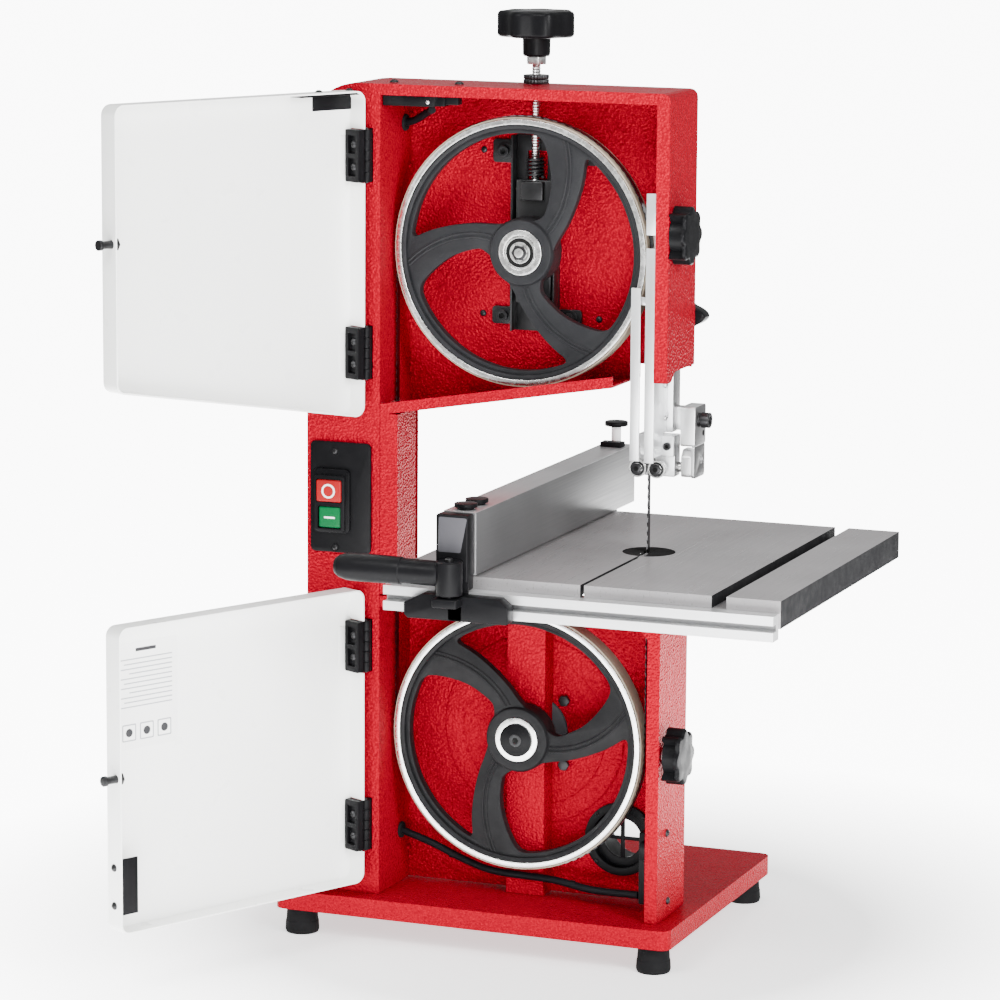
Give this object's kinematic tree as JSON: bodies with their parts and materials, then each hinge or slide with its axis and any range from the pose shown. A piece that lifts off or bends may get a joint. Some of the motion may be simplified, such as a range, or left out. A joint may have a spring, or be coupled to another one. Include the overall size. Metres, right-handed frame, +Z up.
{
  "type": "band saw",
  "caption": "Bench band saw with two spoked wheels behind hinged doors, a tilting slotted table with a rip fence, a sliding blade guide and push buttons.",
  "frame": {"origin": "centre of the bounding box on the floor, under the machine with its doors open", "axes": "+Z up, -Y towards the operator at the doors' side, +X to the operator's right"},
  "size_m": [0.4882, 0.4694, 0.7226],
  "materials": {
    "red_paint": "hammered gloss paint",
    "white_paint": "gloss powder coat",
    "cast_wheel": "painted casting with machined rim",
    "wheel_tyre": "vulcanised band",
    "steel": "zinc plated",
    "ground_iron": "ground and oiled",
    "alloy": "extruded, satin",
    "black_plastic": "fine texture",
    "black_rubber": "moulded",
    "red_button": "moulded",
    "green_button": "moulded",
    "grey_motor": "satin paint",
    "black_steel": "blackened"
  },
  "bodies": {
    "frame": {"base_tray": "red_paint", "foot_front_left": "black_rubber", "foot_front_right": "black_rubber", "foot_rear_left": "black_rubber", "foot_rear_right": "black_rubber", "frame_shell": "red_paint", "frame_column_wall": "red_paint", "frame_back_plate": "red_paint", "frame_throat_panel": "red_paint", "frame_lower_wall": "red_paint", "motor_housing": "grey_motor", "dust_port": "black_plastic", "upper_safety_switch": "black_plastic", "lower_safety_switch": "black_plastic", "upper_switch_cable": "black_plastic", "lower_switch_cable": "black_plastic", "switch_plate": "black_plastic", "saw_blade": "steel", "tension_bracket": "black_steel", "trunnion_cradle": "cast_wheel", "frame_hinge_upper_top": "black_plastic", "frame_hinge_upper_bottom": "black_plastic", "frame_hinge_lower_top": "black_plastic", "frame_hinge_lower_bottom": "black_plastic"},
    "tension_carrier": {"tension_slider": "black_steel", "tension_spring": "steel"},
    "tension_knob": {"tension_knob": "black_plastic"},
    "upper_wheel": {"upper_wheel": "cast_wheel", "upper_tyre": "wheel_tyre", "upper_wheel_bearing": "steel"},
    "lower_wheel": {"lower_wheel": "cast_wheel", "lower_tyre": "wheel_tyre", "motor_shaft": "steel"},
    "guide_post": {"guide_post": "alloy", "blade_guard": "alloy", "guide_block": "alloy"},
    "guide_bearing_left": {"guide_bearing_left": "steel"},
    "guide_bearing_right": {"guide_bearing_right": "steel"},
    "thrust_bearing": {"thrust_bearing": "steel"},
    "guide_lock": {"guide_lock_knob": "black_plastic"},
    "tracking_knob": {"tracking_knob": "black_plastic"},
    "upper_door": {"upper_door": "white_paint", "door_hinge_upper_top": "black_plastic", "door_hinge_upper_bottom": "black_plastic", "upper_latch_stud": "black_steel"},
    "lower_door": {"lower_door": "white_paint", "door_hinge_lower_top": "black_plastic", "door_hinge_lower_bottom": "black_plastic", "lower_latch_stud": "black_steel"},
    "upper_catch": {"upper_door_catch": "black_plastic"},
    "lower_catch": {"lower_door_catch": "black_plastic"},
    "table": {"table_top": "ground_iron", "table_insert": "alloy", "table_rail": "alloy"},
    "tilt_lock": {"tilt_lock_knob": "black_plastic"},
    "fence": {"fence_beam": "alloy", "fence_carriage": "black_plastic"},
    "fence_lever": {"fence_lever": "black_plastic"},
    "start_button": {"start_button": "green_button"},
    "stop_button": {"stop_button": "red_button"}
  },
  "joints": [
    {"name": "upper_door_hinge", "type": "hinge", "parent": "frame", "child": "upper_door", "pos_m": [-0.12519, -0.00699, 0.6129], "axis": [0, 0, 1], "range_deg": [-3, 116.2]},
    {"name": "lower_door_hinge", "type": "hinge", "parent": "frame", "child": "lower_door", "pos_m": [-0.12519, -0.00699, 0.2341], "axis": [0, 0, 1], "range_deg": [-3, 116.2]},
    {"name": "upper_catch_turn", "type": "hinge", "parent": "frame", "child": "upper_catch", "pos_m": [0.12351, 0.01001, 0.562], "axis": [1, 0, 0], "range_deg": [-32, 32]},
    {"name": "lower_catch_turn", "type": "hinge", "parent": "frame", "child": "lower_catch", "pos_m": [0.12351, 0.01001, 0.166], "axis": [1, 0, 0], "range_deg": [-32, 32]},
    {"name": "tension_knob_turn", "type": "hinge", "parent": "frame", "child": "tension_knob", "pos_m": [-0.01049, 0.05101, 0.7], "axis": [0, 0, 1], "range_deg": [-841, 0]},
    {"name": "wheel_slide", "type": "slide", "parent": "frame", "child": "tension_carrier", "axis": [0, 0, 1], "range_m": [-0.0035, 0]},
    {"name": "upper_wheel_spin", "type": "hinge", "parent": "tension_carrier", "child": "upper_wheel", "pos_m": [-0.01049, 0.02701, 0.5417], "axis": [0, 1, 0], "continuous": true},
    {"name": "lower_wheel_spin", "type": "hinge", "parent": "frame", "child": "lower_wheel", "pos_m": [-0.01049, 0.02701, 0.1643], "axis": [0, 1, 0], "continuous": true},
    {"name": "guide_post_slide", "type": "slide", "parent": "frame", "child": "guide_post", "axis": [0, 0, 1], "range_m": [-0.055, 0.012]},
    {"name": "guide_bearing_left_spin", "type": "hinge", "parent": "guide_post", "child": "guide_bearing_left", "pos_m": [0.08491, 0.02351, 0.3829], "axis": [0, 1, 0], "continuous": true},
    {"name": "guide_bearing_right_spin", "type": "hinge", "parent": "guide_post", "child": "guide_bearing_right", "pos_m": [0.10011, 0.02351, 0.3829], "axis": [0, 1, 0], "continuous": true},
    {"name": "thrust_bearing_spin", "type": "hinge", "parent": "guide_post", "child": "thrust_bearing", "pos_m": [0.09251, 0.03751, 0.392], "axis": [1, 0, 0], "continuous": true},
    {"name": "guide_lock_turn", "type": "hinge", "parent": "frame", "child": "guide_lock", "pos_m": [0.09651, 0.07101, 0.494], "axis": [0, 1, 0], "range_deg": [-180, 0]},
    {"name": "tracking_turn", "type": "hinge", "parent": "frame", "child": "tracking_knob", "pos_m": [-0.01049, 0.07101, 0.5417], "axis": [0, 1, 0], "range_deg": [-180, 180]},
    {"name": "table_tilt", "type": "hinge", "parent": "frame", "child": "table", "pos_m": [0.09251, 0.02701, 0.3184], "axis": [0, 1, 0], "range_deg": [0, 45]},
    {"name": "tilt_lock_turn", "type": "hinge", "parent": "frame", "child": "tilt_lock", "pos_m": [0.06651, 0.07201, 0.2794], "axis": [0, 1, 0], "range_deg": [-180, 0]},
    {"name": "fence_slide", "type": "slide", "parent": "table", "child": "fence", "axis": [-1, 0, 0], "range_m": [-0.06, 0.012]},
    {"name": "fence_lever_turn", "type": "hinge", "parent": "fence", "child": "fence_lever", "pos_m": [-0.00049, -0.14499, 0.32], "axis": [0, 0, 1], "range_deg": [0, 90]},
    {"name": "start_button_press", "type": "slide", "parent": "frame", "child": "start_button", "axis": [0, 1, 0], "range_m": [0, 0.003], "stiffness_N_per_m": 400, "springref_m": -0.001},
    {"name": "stop_button_press", "type": "slide", "parent": "frame", "child": "stop_button", "axis": [0, 1, 0], "range_m": [0, 0.003], "stiffness_N_per_m": 400, "springref_m": -0.001}
  ],
  "couplings": [
    {"joint": "tension_knob_turn", "follows": "wheel_slide", "rad_per_m": 4188.8},
    {"joint": "upper_wheel_spin", "follows": "lower_wheel_spin", "ratio": 1}
  ]
}
